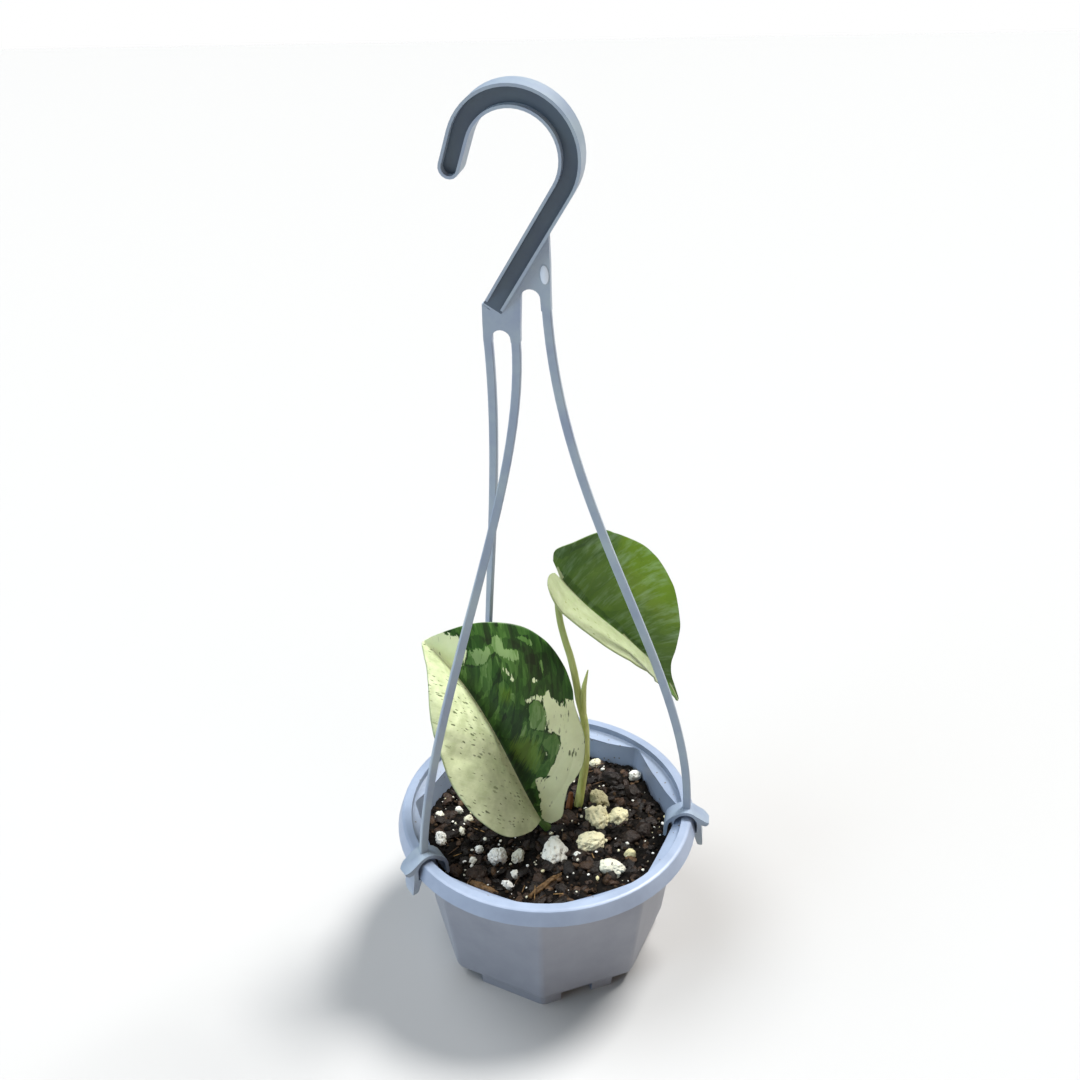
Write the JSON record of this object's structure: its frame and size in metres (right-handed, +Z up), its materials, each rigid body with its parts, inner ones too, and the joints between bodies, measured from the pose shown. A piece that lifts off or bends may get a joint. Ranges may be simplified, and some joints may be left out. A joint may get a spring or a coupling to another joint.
{
  "type": "potted satin pothos in a hanging pot",
  "caption": "Young satin pothos with variegated half-moon leaves, growing in a small octagonal hanging pot with a one-piece three-armed plastic hanger and hook.",
  "frame": {"origin": "middle of the whole footprint at the surface that the pot's feet stand on", "axes": "+Z up along the pot's axis, -Y towards the side that the picture is taken from, +X to that side's right"},
  "size_m": [0.1264, 0.1216, 0.3342],
  "materials": {
    "pot_plastic": "satin pale blue-grey moulded plastic",
    "hanger_plastic": "satin pale blue-grey moulded plastic",
    "soil": "loose dark potting mix with pale pumice and bark chips",
    "leaf": "satin leaf, cream and green",
    "stem": "smooth yellow-green leaf stalk",
    "dried_stem": "dry brown stalk"
  },
  "bodies": {
    "root": {"pot": "pot_plastic", "hanger": "hanger_plastic", "soil": "soil", "leaf_front": "leaf", "leaf_back": "leaf", "stem_back": "stem", "stem_front": "stem", "dried_stub": "dried_stem"}
  },
  "joints": []
}
